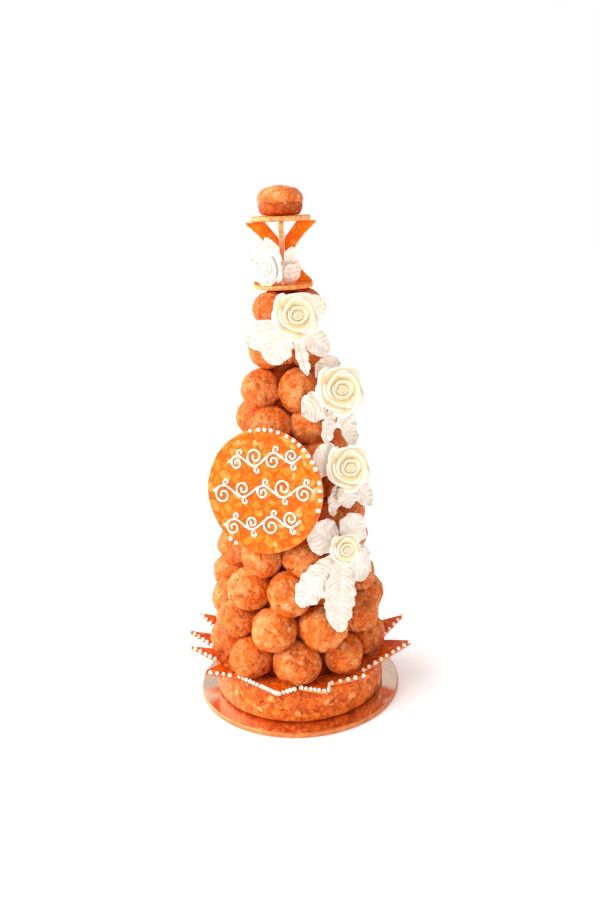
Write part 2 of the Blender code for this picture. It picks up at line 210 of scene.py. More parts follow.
# ---- meshes
class Solid:
    """Points, faces and two numbers per point: a relief value (0 pit to 1 ridge), which the paints turn into
    painted shade in pits and grooves and into an almond's browner rim, and tone (0 to 1).
    """

    def __init__(self):
        self.points, self.faces, self.crust, self.tone, self.paint = [], [], [], [], []
        self.count = 0

    def add(self, points, faces, crust=0.5, tone=0.5, paint=0):
        """Adds a closed shape; the relief value and tone are one number or one for each point."""
        n = len(points)
        self.points.append(np.asarray(points, float))
        self.faces.extend(tuple(int(i) + self.count for i in face) for face in faces)
        self.crust.append(np.broadcast_to(crust, (n,)))
        self.tone.append(np.broadcast_to(tone, (n,)))
        self.paint.extend([paint] * len(faces))
        self.count += n

    def make(self, name, materials, slot, replaced=()):
        """The finished piece, riding on the object's one body."""
        mesh = bpy.data.meshes.new(name)
        mesh.from_pydata(np.concatenate(self.points).tolist(), [], self.faces)
        for label, values in (("crust", self.crust), ("tone", self.tone)):
            layer = mesh.attributes.new(label, "FLOAT", "POINT")
            layer.data.foreach_set("value", np.concatenate(values).astype(np.float32))
        for material in materials:
            mesh.materials.append(material)
        mesh.polygons.foreach_set("material_index", self.paint)
        mesh.polygons.foreach_set("use_smooth", [True] * len(self.faces))
        mesh.update()
        piece = bpy.data.objects.new(name, mesh)
        bpy.context.scene.collection.objects.link(piece)
        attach(piece, "root")
        if replaced:
            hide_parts(*replaced)


def make_piece(name, material, slot, node, points, faces, crust, tone):
    """A piece of one closed shape and one material that stands for one CAD node."""
    solid = Solid()
    solid.add(points, faces, crust, tone)
    solid.make(name, [material], slot, [node])


def placed(points, origin, x_axis, y_axis, z_axis):
    """Local points set into a frame of three axes."""
    return origin + points[:, :1] * x_axis + points[:, 1:2] * y_axis + points[:, 2:3] * z_axis


def grid_faces(rows, columns, closed=False):
    """Quads over a grid of rows by columns of points; closed joins the last column to the first."""
    index = np.arange(rows * columns).reshape(rows, columns)
    if closed:
        index = np.hstack((index, index[:, :1]))
    corners = (index[:-1, :-1], index[:-1, 1:], index[1:, 1:], index[1:, :-1])
    return np.stack(corners, axis=-1).reshape(-1, 4).tolist()


def capped_faces(rows, segments):
    """Faces over rows of closed rings, with two points after them that close the first and the last ring."""
    faces = grid_faces(rows, segments, closed=True)
    foot = rows * segments
    for c in range(segments):
        d = (c + 1) % segments
        faces.append((foot, d, c))
        faces.append((foot + 1, foot - segments + c, foot - segments + d))
    return faces


def revolved(profile, segments):
    """Points and faces of a (radius, height) profile turned round the axis; its two ends lie on the axis."""
    turns = np.arange(segments) * math.tau / segments
    rows = [np.stack((r * np.sin(turns), -r * np.cos(turns), np.full(segments, z)), axis=1)
            for r, z in profile[1:-1]]
    ends = [(0, 0, profile[0][1]), (0, 0, profile[-1][1])]
    return np.concatenate(rows + [ends]), capped_faces(len(rows), segments)


def ball_grid(n):
    """Unit directions over a sphere in an even cube pattern, with its quads; packed closer towards +X."""
    index, points, faces = {}, [], []
    steps = np.tan(np.linspace(-math.pi / 4, math.pi / 4, n + 1))
    for axis, side in itertools.product(range(3), (-1, 1)):
        patch = np.zeros((n + 1, n + 1), int)
        for i, j in itertools.product(range(n + 1), repeat=2):
            p = [0.0, 0.0, 0.0]
            p[axis], p[(axis + 1) % 3], p[(axis + 2) % 3] = side, steps[i], steps[j]
            key = tuple(round(v, 6) for v in p)
            if key not in index:
                index[key] = len(points)
                points.append(p)
            patch[i, j] = index[key]
        for i, j in itertools.product(range(n), repeat=2):
            quad = (patch[i, j], patch[i + 1, j], patch[i + 1, j + 1], patch[i, j + 1])
            faces.append(quad if side > 0 else quad[::-1])
    directions = unit(np.array(points)) + np.array((0.35, 0, 0))
    return unit(directions), faces


def sheet(grid, thickness):
    """A thin closed skin over a rows x columns x 3 grid of points, thinner along its rim."""
    rows, columns = grid.shape[:2]
    normal = unit(np.cross(np.gradient(grid, axis=0), np.gradient(grid, axis=1)))
    edge = np.full((rows, columns), SHEET_RIM)
    edge[1:-1, 1:-1] = 1
    shift = normal * (edge * thickness / 2)[..., None]
    points = np.concatenate(((grid + shift).reshape(-1, 3), (grid - shift).reshape(-1, 3)))
    front = grid_faces(rows, columns)
    n = rows * columns
    faces = [face[::-1] for face in front] + [[i + n for i in face] for face in front]
    index = np.arange(n).reshape(rows, columns)
    ring = np.concatenate((index[0, :-1], index[:-1, -1], index[-1, :0:-1], index[:0:-1, 0]))
    for a, b in zip(ring, np.roll(ring, -1)):
        faces.append((a, b, b + n, a + n))
    return points, faces


def tube(path, radii, sides):
    """A round rod with domed ends along a path of points."""
    path = np.asarray(path, float)
    forward = unit(np.gradient(path, axis=0))
    normal = unit(np.cross(forward[0], (0.36, 0.48, 0.8)))
    turns = np.arange(sides) * math.tau / sides
    rings = []
    for point, ahead, radius in zip(path, forward, radii):
        normal = unit(normal - ahead * float(normal @ ahead))
        other = np.cross(ahead, normal)
        rings.append(point + radius * (np.outer(np.cos(turns), normal) + np.outer(np.sin(turns), other)))
    ends = [path[0] - forward[0] * radii[0] * 0.4, path[-1] + forward[-1] * radii[-1] * 0.4]
    return np.concatenate(rings + [ends]), capped_faces(len(path), sides)


def outline_distance(points, outline):
    """Distance of each 2-D point from a closed outline."""
    best = np.full(len(points), 1e9)
    for start, end in zip(outline, np.roll(outline, -1, axis=0)):
        run = end - start
        share = np.clip(((points - start) @ run) / max(run @ run, 1e-18), 0, 1)
        best = np.minimum(best, np.linalg.norm(points - start - share[:, None] * run, axis=1))
    return best


def inside(points, outline):
    """True for each 2-D point inside a closed outline."""
    x, y = points[:, 0], points[:, 1]
    odd = np.zeros(len(points), bool)
    for (ax, ay), (bx, by) in zip(outline, np.roll(outline, -1, axis=0)):
        crosses = (ay > y) != (by > y)
        odd ^= crosses & (x < (bx - ax) * (y - ay) / (by - ay + 1e-18) + ax)
    return odd


def spaced(outline, spacing):
    """A closed outline with points no further than spacing apart."""
    made = []
    for a, b in zip(outline, np.roll(outline, -1, axis=0)):
        steps = max(1, math.ceil(np.linalg.norm(b - a) / spacing))
        made.extend(a + (b - a) * k / steps for k in range(steps))
    return np.array(made)


def rim_share(points, outline, depth):
    """1 on a plate's outline, falling to 0 at depth inside it."""
    return np.clip(1 - outline_distance(points[:, :2], outline) / depth, 0, 1)


def slab(outline, thickness, edge, spacing, rounded=True):
    """A plate over a counter-clockwise outline, its edges rounded or bevelled; its middle plane is z = 0."""
    rim = spaced(outline, spacing)
    ahead = unit(np.roll(rim, -1, axis=0) - np.roll(rim, 1, axis=0))
    inner = np.stack((-ahead[:, 1], ahead[:, 0]), axis=1)
    sets = [rim]
    for offset in (0.15 * edge, 0.5 * edge, edge) if rounded else ():
        ring = rim + inner * offset
        sets.append(ring[(outline_distance(ring, rim) > 0.92 * offset) & inside(ring, rim)])
    low, high = rim.min(axis=0), rim.max(axis=0)
    xs = np.arange(low[0], high[0], spacing)
    ys = np.arange(low[1], high[1], spacing * 0.87)
    field = np.array([(x + (k % 2) * spacing / 2, y) for k, y in enumerate(ys) for x in xs])
    field = field[inside(field, rim)]
    sets.append(field[outline_distance(field, rim) > edge + 0.5 * spacing])
    loop = [(k, (k + 1) % len(rim)) for k in range(len(rim))]
    found = delaunay_2d_cdt([Vector(p) for p in np.concatenate(sets)], loop, [], 1, 1e-8)
    flat = np.array([tuple(p) for p in found[0]])
    depth = outline_distance(flat, rim)
    height = thickness / 2 * np.sqrt(1 - (1 - np.minimum(depth / edge, 1)) ** 2)
    on_rim = depth < 1e-7
    below = np.cumsum(~on_rim) + len(flat) - 1
    below[on_rim] = np.nonzero(on_rim)[0]
    points = np.concatenate((np.column_stack((flat, height)), np.column_stack((flat, -height))[~on_rim]))
    faces = []
    for a, b, c in found[2]:
        (ax, ay), (bx, by), (cx, cy) = flat[a], flat[b], flat[c]
        if (bx - ax) * (cy - ay) - (by - ay) * (cx - ax) < 0:
            b, c = c, b
        faces.append((a, b, c))
        faces.append((below[a], below[c], below[b]))
    return points, faces


# ---- materials
def tint(red, green, blue):
    """A colour given as it shows on a screen, 0 to 255, in the linear values that shaders use."""
    curved = [((c / 255 + 0.055) / 1.055) ** 2.4 if c > 10 else c / 3294 for c in (red, green, blue)]
    return (*curved, 1)


class Paint:
    """A material and short ways to add its nodes."""

    def __init__(self, name):
        self.material = bpy.data.materials.new(name)
        self.material.use_nodes = True
        self.tree = self.material.node_tree
        self.shader = self.tree.nodes["Principled BSDF"]
        self.at = self.tree.nodes.new("ShaderNodeTexCoord").outputs["Object"]

    def fill(self, node, inputs):
        """Sets a node's inputs to numbers, colours or other nodes' outputs."""
        for key, value in inputs.items():
            if isinstance(value, bpy.types.NodeSocket):
                self.tree.links.new(value, node.inputs[key])
            else:
                node.inputs[key].default_value = value

    def put(self, inputs):
        """Sets inputs of the main shader."""
        self.fill(self.shader, inputs)

    def node(self, kind, inputs, **settings):
        """A new node."""
        made = self.tree.nodes.new(kind)
        for key, value in settings.items():
            setattr(made, key, value)
        self.fill(made, inputs)
        return made

    def noise(self, size, detail=3.0, roughness=0.55, distortion=0.0):
        """Noise from 0 to 1 with blobs about size across, in metres."""
        inputs = {"Vector": self.at, "Scale": 0.7 / size, "Detail": detail, "Roughness": roughness,
                  "Distortion": distortion}
        return self.node("ShaderNodeTexNoise", inputs).outputs["Fac"]

    def cells(self, size, feature="F1", output="Distance"):
        """Voronoi cells about size across, in metres."""
        inputs = {"Vector": self.at, "Scale": 1 / size}
        return self.node("ShaderNodeTexVoronoi", inputs, feature=feature).outputs[output]

    def cell_colours(self, size):
        """Three random numbers for each cell: the outputs Red, Green and Blue."""
        inputs = {"Color": self.cells(size, output="Color")}
        return self.node("ShaderNodeSeparateColor", inputs).outputs

    def ramp(self, value, *stops):
        """Colours at positions from 0 to 1 along a value."""
        made = self.node("ShaderNodeValToRGB", {"Fac": value})
        elements = made.color_ramp.elements
        while len(elements) < len(stops):
            elements.new(0.5)
        for element, (position, colour) in zip(elements, stops):
            element.position = position
            element.color = colour
        return made.outputs["Color"]

    def span(self, value, low, high, new_low, new_high):
        """A value moved from one range to another and clamped."""
        inputs = {"Value": value, "From Min": low, "From Max": high, "To Min": new_low, "To Max": new_high}
        return self.node("ShaderNodeMapRange", inputs).outputs["Result"]

    def mix(self, share, first, second):
        """Two colours mixed."""
        return self.node("ShaderNodeMix", {0: share, 6: first, 7: second}, data_type="RGBA").outputs[2]

    def sums(self, operation, first, second):
        """Two numbers combined."""
        return self.node("ShaderNodeMath", {0: first, 1: second}, operation=operation).outputs[0]

    def own(self, label):
        """A number stored on the mesh's points."""
        return self.node("ShaderNodeAttribute", {}, attribute_name=label).outputs["Fac"]

    def blend(self, value, first, second):
        """Two colours blended by a noise value."""
        return self.ramp(value, (0.3, first), (0.7, second))

    def rough(self, value, low, high):
        """Sets a roughness that follows a noise value."""
        self.put({"Roughness": self.span(value, 0.3, 0.7, low, high)})

    def bump(self, height, depth):
        """Sets fine relief; depth is in metres."""
        made = self.node("ShaderNodeBump", {"Height": height, "Distance": depth, "Strength": 1.0})
        self.put({"Normal": made.outputs["Normal"]})


def choux_paint():
    """Baked choux crust, dry and dusty in places and under a caramel glaze in others; its pits and wrinkles
    get painted shade, and its white sugar specks are partly painted glints.
    """
    p = Paint("choux_crust_baked")
    glazed = p.span(p.noise(0.012, detail=4.0, roughness=0.6, distortion=0.6), 0.48, 0.56, 0.0, 1.0)
    mottle = p.noise(0.007, detail=4.0, roughness=0.6)
    dry = p.ramp(mottle, (0.34, tint(238, 118, 44)), (0.50, tint(253, 148, 74)), (0.68, tint(255, 186, 126)))
    wet = p.ramp(mottle, (0.34, tint(226, 88, 2)), (0.52, tint(250, 112, 4)), (0.72, tint(255, 142, 16)))
    base = p.mix(glazed, dry, wet)
    # Tone: a random depth of bake for each chou; on the bun's body it also carries painted shade under the
    # cap.
    tone_and_bun_shade = p.mix(p.span(p.own("tone"), 0, 1, 0.0, 0.45), base, tint(226, 96, 12))
    grain = p.noise(0.0016, detail=3.0, roughness=0.7)
    speckled = p.mix(p.span(grain, 0.54, 0.66, 0.0, 0.5), tone_and_bun_shade, tint(206, 78, 8))
    pale = p.mix(p.span(grain, 0.34, 0.46, 0.55, 0.0), speckled, tint(255, 194, 124))
    # Painted shade: darker in the pits and wrinkles, where the relief value is low.
    crust = p.mix(p.span(p.own("crust"), 0.12, 0.48, 0.7, 0.0), pale, tint(176, 62, 2))
    # White specks: partly sugar crystals, partly painted glints.
    sugar = p.span(p.noise(0.0024, detail=1.0), 0.72, 0.76, 0.0, 0.8)
    p.put({"Base Color": p.mix(sugar, crust, tint(255, 236, 214)), "Specular IOR Level": 0.12})
    p.put({"Roughness": p.span(glazed, 0.0, 1.0, 0.70, 0.32)})
    p.put({"Coat Weight": p.span(glazed, 0.0, 1.0, 0.0, 0.22), "Coat Roughness": 0.16})
    p.bump(p.sums("ADD", p.noise(0.0013, detail=3.0, roughness=0.7), p.noise(0.0035)), 0.0030)
    return p.material


def plain_paint(name, colour_noise, colours, gloss_noise, gloss, relief_noise, depth, settings):
    """Two blended colours with an uneven roughness and fine relief; each noise is a size and a detail."""
    p = Paint(name)
    p.put({"Base Color": p.blend(p.noise(*colour_noise), *colours)})
    p.rough(p.noise(*gloss_noise), *gloss)
    p.bump(p.noise(*relief_noise), depth)
    p.put(settings)
    return p.material


def nougatine_paint(name, colours, flake_size, glow, shine):
    """Poured amber sugar full of almond flakes, painted darker as shade where its surface dips; tone marks
    the pale, grainy broken edges.
    """
    sugar, dark, flake, pale = (tint(*colour) for colour in colours)
    p = Paint(name)
    melt = p.ramp(p.noise(0.0085, detail=5.0, roughness=0.65, distortion=0.9), (0.36, dark), (0.60, sugar))
    edge = p.span(p.cells(flake_size, feature="DISTANCE_TO_EDGE"), 0.05, 0.20, 0.0, 1.0)
    large = p.cell_colours(flake_size)
    chosen = p.sums("MULTIPLY", edge, p.span(large["Red"], 0.42, 0.56, 0.0, 0.85))
    flakes = p.mix(chosen, melt, p.mix(p.span(large["Green"], 0.3, 1.0, 0.0, 1.0), flake, pale))
    small = p.cell_colours(flake_size * 0.35)
    coloured = p.mix(p.span(small["Green"], 0.76, 0.82, 0.0, 0.5), flakes, flake)
    browned = p.mix(p.span(small["Blue"], 0.80, 0.86, 0.0, 0.5), coloured, dark)
    # Painted shade: darker where the relief value is low, in the surface's dips.
    face = p.mix(p.span(p.own("crust"), 0.1, 0.5, 0.6, 0.0), browned, dark)
    crumb = p.ramp(p.noise(0.0016), (0.38, tint(236, 124, 48)), (0.60, tint(250, 186, 124)))
    p.put({"Base Color": p.mix(p.own("tone"), face, crumb)})
    p.rough(p.noise(0.005), 0.28, 0.55)
    p.put({"Coat Weight": shine, "Coat Roughness": 0.12, "Specular IOR Level": 0.06 + shine})
    p.put({"Subsurface Weight": glow, "Subsurface Radius": (1.0, 0.35, 0.1), "Subsurface Scale": 0.003})
    p.bump(p.sums("ADD", p.sums("MULTIPLY", chosen, 0.5), p.noise(0.0028, detail=4.0)), 0.0007)
    return p.material


def almond_paint():
    """Toasted almond slices with a browner rim."""
    p = Paint("almond_slice")
    fleck = p.noise(0.003)
    base = p.blend(fleck, tint(244, 138, 48), tint(252, 168, 84))
    p.put({"Base Color": p.mix(p.span(p.own("crust"), 0, 1, 0.7, 0.0), base, tint(206, 98, 24))})
    p.put({"Coat Weight": 0.4, "Coat Roughness": 0.15})
    p.rough(fleck, 0.3, 0.5)
    p.bump(p.noise(0.0015), 0.0002)
    return p.material


def sugar_paint(name, light, shade, cream, groove_shade):
    """Pulled sugar or sugar paste with a satin, pearly skin; tone picks the cream, and low relief values take
    a painted shade colour in grooves and depths.
    """
    p = Paint(name)
    cream_and_shade = p.mix(p.own("tone"), p.blend(p.noise(0.007), tint(*shade), tint(*light)), tint(*cream))
    # Painted shade: the groove colour goes into the pleats' grooves, the midrib and the depths of the roses.
    p.put({"Base Color": p.mix(p.span(p.own("crust"), 0.0, 0.8, 0.65, 0.0), cream_and_shade, tint(*groove_shade))})
    p.rough(p.noise(0.004), 0.24, 0.40)
    p.put({"Coat Weight": 0.45, "Coat Roughness": 0.18})
    p.put({"Subsurface Weight": 0.30, "Subsurface Radius": (1.0, 0.85, 0.65), "Subsurface Scale": 0.0025})
    p.bump(p.noise(0.0016), 0.00012)
    return p.material


CHOUX = choux_paint()
# The core is dark: partly the caramel that holds the choux, partly painted shade seen in the gaps between
# them.
CORE_SHADE = plain_paint("caramel_core_painted_shade", (0.006, 3), (tint(84, 26, 3), tint(150, 58, 8)), (0.004, 3), (0.6, 0.85),
                   (0.003, 3), 0.0008, {"Specular IOR Level": 0.08})
NOUGATINE = nougatine_paint(
    "nougatine_wall", ((236, 104, 20), (156, 48, 4), (242, 124, 36), (248, 148, 66)), 0.0060, 0.08, 0.09)
# A deeper, more saturated copy of the nougatine for the crown sheets: partly painted shade, as they lie in
# shade under the choux.
CROWN_NOUGATINE_SHADE = nougatine_paint(
    "nougatine_sheet_painted_shade", ((232, 90, 2), (178, 52, 0), (240, 112, 14), (248, 138, 38)), 0.0065, 0.30, 0.01)
CLEAR_NOUGATINE = nougatine_paint(
    "nougatine_clear", ((250, 104, 8), (228, 76, 2), (252, 130, 28), (253, 162, 78)), 0.0095, 0.03, 0.05)
FIN_NOUGATINE = nougatine_paint(
    "nougatine_stand", ((250, 122, 6), (236, 98, 2), (252, 142, 20), (253, 162, 60)), 0.0060, 0.02, 0.02)
ALMOND = almond_paint()
ICING = plain_paint("royal_icing", (0.003, 3), (tint(250, 242, 230), tint(255, 252, 247)), (0.002, 3),
                    (0.35, 0.5), (0.0012, 3), 0.00008,
                    {"Subsurface Weight": 0.15, "Subsurface Radius": (1.0, 0.8, 0.6),
                     "Subsurface Scale": 0.001})
PETAL = sugar_paint("sugar_petal_satin", (255, 251, 245), (251, 243, 231), (254, 224, 174), (248, 208, 154))
LEAF = sugar_paint("sugar_leaf_pearl", (252, 243, 233), (242, 228, 211), (236, 206, 178), (216, 176, 144))
BOARD = plain_paint("mirror_card", (0.030, 4), (tint(226, 192, 164), tint(240, 216, 194)), (0.030, 4),
                    (0.08, 0.16), (0.012, 2), 0.0002, {"Metallic": 1.0})
BOARD_EDGE = plain_paint("card_edge_foil", (0.006, 4), (tint(196, 104, 46), tint(232, 146, 84)), (0.006, 4),
                         (0.30, 0.5), (0.003, 3), 0.0003, {"Metallic": 0.6})


# ---- board and drum
def make_board():
    """The round card under everything, its edge rounded over."""
    low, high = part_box("cake_board")
    radius, foot, top = high[0], low[2], high[2]
    profile = [(0, foot), (radius - 0.002, foot), (radius - 0.0008, foot + 0.0004),
               (radius - 0.0001, foot + 0.0012), (radius - 0.0001, top - 0.0012),
               (radius - 0.0005, top - 0.0003), (radius - 0.0012, top), (radius - 0.0014, top),
               (radius * 0.5, top), (0, top)]
    points, faces = revolved(profile, 160)
    solid = Solid()
    solid.add(points, faces)
    from_axis = np.linalg.norm(points[:, :2], axis=1)
    solid.paint = [int(from_axis[list(face)].min() > radius - 0.0013) for face in faces]
    solid.make("board_card", [BOARD, BOARD_EDGE], "mirror_board", ["cake_board"])


def make_drum():
    """The nougatine drum, its wall a little uneven, as sugar rolled round a ring is."""
    low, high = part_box("nougatine_drum")
    radius, foot, top = high[0], low[2], high[2]
    rows = 26
    wall = [(radius - 0.0004 - 0.0022 * abs(2 * k / rows - 1) ** 14, foot + (top - foot) * k / rows)
            for k in range(rows + 1)]
    profile = [(0, foot), (radius * 0.6, foot), *wall, (radius * 0.8, top), (radius * 0.4, top), (0, top)]
    points, faces = revolved(profile, 260)
    on_wall = np.linalg.norm(points[:, :2], axis=1) > radius * 0.9
    swell = clouds(points, 0.022, 3) * 0.0007 + clouds(points, 0.006, 5) * 0.00045
    moved = (np.minimum(swell, 0.0003) - 0.0002) * on_wall
    points = points + unit(points * (1, 1, 0)) * moved[:, None]
    make_piece("drum_wall", NOUGATINE, "nougatine", "nougatine_drum", points, faces,
               np.clip(0.6 + swell / 0.0012, 0, 1), 0)
    return radius, foot, top


def almond(origin, across, up, out, length, width, seed):
    """One thin almond slice: an egg outline with a domed face."""
    turn = random.Random(seed).uniform(0, math.tau)
    dome = [(share, ALMOND_HALF * math.sqrt(1 - share**3)) for share in (1, 0.75, 0.5, 0.25)]
    points, faces = revolved([(0, -ALMOND_HALF)] + dome + [(0, ALMOND_HALF)], 16)
    share = np.linalg.norm(points[:, :2], axis=1)
    crust = np.where(points[:, 2] < 0, 0.5, 1 - share**3)
    x = -points[:, 1] * length / 2
    y = points[:, 0] * width / 2 * (1 + 0.25 * points[:, 1] / np.maximum(share, 1e-9))
    spun = np.column_stack((x * math.cos(turn) - y * math.sin(turn), x * math.sin(turn) + y * math.cos(turn),
                            points[:, 2]))
    return placed(spun, origin, across, up, out), faces, crust


def make_drum_almonds(radius, foot, top):
    """Almond slices set in the drum's wall."""
    rng = random.Random(41)
    solid = Solid()
    for k in range(DRUM_ALMONDS):
        azimuth = k * 360 / DRUM_ALMONDS + rng.uniform(-6, 6)
        height = foot + (top - foot) * rng.uniform(0.14, 0.80)
        length = ALMOND_LENGTH * rng.uniform(0.6, 1.0)
        origin = outward(azimuth) * (radius - 0.0006) + UP * height
        points, faces, crust = almond(origin, sideways(azimuth), UP, outward(azimuth), length,
                                      length * rng.uniform(0.55, 0.7), k)
        solid.add(points, faces, crust=crust)
    solid.make("drum_almonds", [ALMOND], "nougatine")


# ---- crown of sheets round the drum
def crown_sheet(left, tip, right, reach):
    """The inner arc and the tip of one crown sheet in its own plane, and that plane's place and axes."""
    middle, half = (left + right) / 2, math.radians((right - left) / 2)
    level, steep = math.cos(CROWN_SLOPE), math.sin(CROWN_SLOPE)
    chord = CROWN_INNER_RADIUS * math.cos(half)
    arc = [(CROWN_INNER_RADIUS * math.sin(a) * 0.995, (CROWN_INNER_RADIUS * math.cos(a) - chord) / level)
           for a in np.linspace(-half, half, 13)]
    lean = math.radians(tip - middle)
    peak = (reach * math.sin(lean), (reach * math.cos(lean) - chord) / level)
    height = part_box("nougatine_drum")[1][2] + GAP + CROWN_THICKNESS / 2
    out = outward(middle)
    axes = (out * chord + UP * height, sideways(middle), out * level + UP * steep, UP * level - out * steep)
    return np.array(arc), np.array(peak), axes


def blunt_tip(before, peak, after):
    """Points that round a sheet's tip off."""
    first, last = unit(before - peak), unit(after - peak)
    made = []
    for share in np.linspace(0, 1, 7):
        bend = 2 * share * (1 - share) * 0.12
        made.append(peak + TIP_ROUNDING * (((1 - share) ** 2 + bend) * first + (share**2 + bend) * last))
    return made


def make_crown():
    """The thirteen upturned nougatine sheets with piped pearls and lines along their outer edges."""
    pearls, lines = Solid(), Solid()
    for number, (left, tip, right, reach) in enumerate(CROWN_PLATES, 1):
        arc, peak, axes = crown_sheet(left, tip, right, reach)
        outline = np.array([*arc, *blunt_tip(arc[-1], peak, arc[0])])
        flat, faces = slab(outline, CROWN_THICKNESS * 0.94, 0.0013, 0.0012, rounded=tip != DOUBLE_TIP)
        points = placed(flat, *axes)
        wave = clouds(points, 0.012, 7, 2)
        points = points + axes[3] * (wave * 0.00025)[:, None]
        make_piece(f"crown_sheet_{number:02d}", CROWN_NOUGATINE_SHADE, "nougatine", f"crown_plate_{number:02d}",
                   points, faces, np.clip(0.6 + 0.5 * wave, 0, 1), rim_share(flat, outline, 0.0008) * 0.35)
        pipe_edges(pearls, lines, tip, (arc[0], peak, arc[-1]), axes)
    pearls.make("crown_pearls", [ICING], "sugar_paste")
    lines.make("crown_icing_lines", [ICING], "sugar_paste")


def pipe_edges(pearls, lines, tip, corners, axes):
    """Pearls along the edge of a sheet that faces the front; one short edge gets a piped line."""
    tip = tip if tip <= 180 else tip - 360
    rng = random.Random(tip * 7 + 5)
    front_side = 1 if tip < 0 else 0
    for side in (0, 1):
        start, end = corners[side], corners[side + 1]
        length = np.linalg.norm(end - start)
        ahead = (end - start) / length
        start = start + np.array((ahead[1], -ahead[0])) * 0.0004
        if side == 1 and tip == LINED_TIP:
            flat = start + np.outer(np.linspace(0.04, 0.96, 12) * length, ahead)
            path = np.column_stack((flat, np.full(12, CROWN_THICKNESS / 2 + 0.0004)))
            lines.add(*tube(placed(path, *axes), [LINE_RADIUS] * 12, 10))
        elif side == front_side or tip == DOUBLE_TIP:
            wide = WIDE_PEARL_STEP if tip > 40 else PEARL_STEP
            at = 0.0020
            while at < length - 0.0020:
                close = side == 0 and tip == DOUBLE_TIP and at > length * 0.55
                radius = PEARL_RADIUS * rng.uniform(0.86, 1.10)
                spot = start + ahead * at + np.array((rng.uniform(-1, 1), rng.uniform(-1, 1))) * 0.0003
                centre = placed(np.array([(*spot, CROWN_THICKNESS / 2 - radius * 0.2)]), *axes)[0]
                add_pearl(pearls, centre, radius, axes[3])
                at += (CLOSE_PEARL_STEP if close else wide) * rng.uniform(0.9, 1.1)


def add_pearl(solid, centre, radius, up):
    """A piped drop: a small ball with a slightly drawn-up top."""
    profile = []
    for ring in range(PEARL_RINGS + 1):
        a = math.pi * ring / PEARL_RINGS
        lift = 0.14 * max(0, -math.cos(a)) ** 6
        profile.append((radius * math.sin(a), radius * (-math.cos(a) * 0.92 + lift)))
    points, faces = revolved(profile, PEARL_SIDES)
    side = unit(np.cross(up, (0.3, 0.5, 0.81)))
    solid.add(placed(points, centre, side, np.cross(up, side), up), faces)


# ---- choux
def tier_sizes(height, count):
    """Radius of the ring of centres and of the choux of a tier."""
    outer = cone_radius(height)
    share = CHOU_FIT * math.sin(math.pi / count)
    chou = min(CHOU_RADIUS, share * outer / (1 + share))
    return outer - chou, chou


BALL, BALL_FACES = ball_grid(CHOU_GRID)


def add_chou(solid, centre, radius, azimuth, rng):
    """One baked chou: an uneven ball, wrinkled from top to bottom, with a grainy crust."""
    seed = rng.randrange(10000)
    shape = (rng.uniform(0.95, 1.02), rng.uniform(0.94, 1.03), rng.uniform(0.92, 1.02))
    lean = Matrix.Rotation(rng.uniform(-0.35, 0.35), 3, "X") @ Matrix.Rotation(rng.uniform(-0.3, 0.3), 3, "Z")
    turn = np.array(Matrix.Rotation(math.radians(azimuth - 90), 3, "Z") @ lean)
    local = BALL * radius
    around = np.arctan2(BALL[:, 1], BALL[:, 0])
    strips = np.stack((around * 0.010, BALL[:, 2] * 0.006, np.zeros(len(BALL))), axis=1)
    lump = clouds(local + seed * 0.001, 0.019, seed, 2)
    dent = clouds(local, 0.0080, seed + 11, 2)
    wrinkle = np.minimum(np.abs(clouds(strips, 0.0034, seed + 23, 2)), 0.25)
    grain = clouds(local, 0.0030, seed + 37, 2)
    reach = radius * (0.970 + lump * 0.110 + dent * 0.045 + wrinkle * 0.15 + grain * 0.040)
    crust = np.clip(0.45 + grain * 0.5 + dent * 0.6 + wrinkle, 0, 1)
    points = centre + (BALL * reach[:, None] * shape) @ turn.T
    solid.add(points, BALL_FACES, crust=crust, tone=rng.random())


def make_choux():
    """The eleven rings of choux, each with its part of the dark core: caramel, and painted shade seen between
    the choux.
    """
    heights = [tier[0] for tier in CHOUX_TIERS]
    joints = [(low + high) / 2 for low, high in zip(heights, heights[1:])]
    joints = [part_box("nougatine_drum")[1][2] + GAP] + joints + [CORE_TOP]
    for index, (height, count, first) in enumerate(CHOUX_TIERS):
        ring, chou = tier_sizes(height, count)
        rng = random.Random(round(height * 10000))
        solid = Solid()
        for k in range(count):
            azimuth = first + k * 360 / count
            size = chou * rng.uniform(1.02, 1.13)
            spin = rng.uniform(-0.05, 0.05)
            centre = outward(azimuth + spin * 20) * ring + UP * (height + spin * 0.02)
            add_chou(solid, centre, size, azimuth, rng)
        for k in range(count if count <= FEW_CHOUX else 0):
            azimuth = first + (k + 0.5) * 360 / count
            add_chou(solid, outward(azimuth) * ring * 0.5 + UP * height, chou * 0.92, azimuth, rng)
        floor, head = joints[index], joints[index + 1]
        levels = [floor + (head - floor) * step / 8 for step in range(9)]
        wall = [(max(CORE_RADIUS, cone_radius(z) - 1.25 * chou), z) for z in levels]
        points, faces = revolved([(0, floor)] + wall + [(0, head)], 96)
        swell = clouds(points, 0.010, 77) * 0.0012
        solid.add(points + unit(points * (1, 1, 0)) * swell[:, None], faces, paint=1)
        number = index + 1
        solid.make(f"choux_ring_{number:02d}", [CHOUX, CORE_SHADE], "choux_crust", [f"choux_tier_{number:02d}"])


# ---- plaque
def plaque_frame():
    """Centre and axes of the plaque, leaning back with the tower."""
    lean = math.atan(CONE_TAPER)
    facing = outward(PLAQUE_AZIMUTH) * math.cos(lean) + UP * math.sin(lean)
    across = sideways(PLAQUE_AZIMUTH)
    centre = outward(PLAQUE_AZIMUTH) * cone_radius(PLAQUE_HEIGHT) + UP * PLAQUE_HEIGHT
    centre = centre + facing * (PLAQUE_THICKNESS / 2 + PLAQUE_CLEARANCE)
    return centre, across, np.cross(facing, across), facing


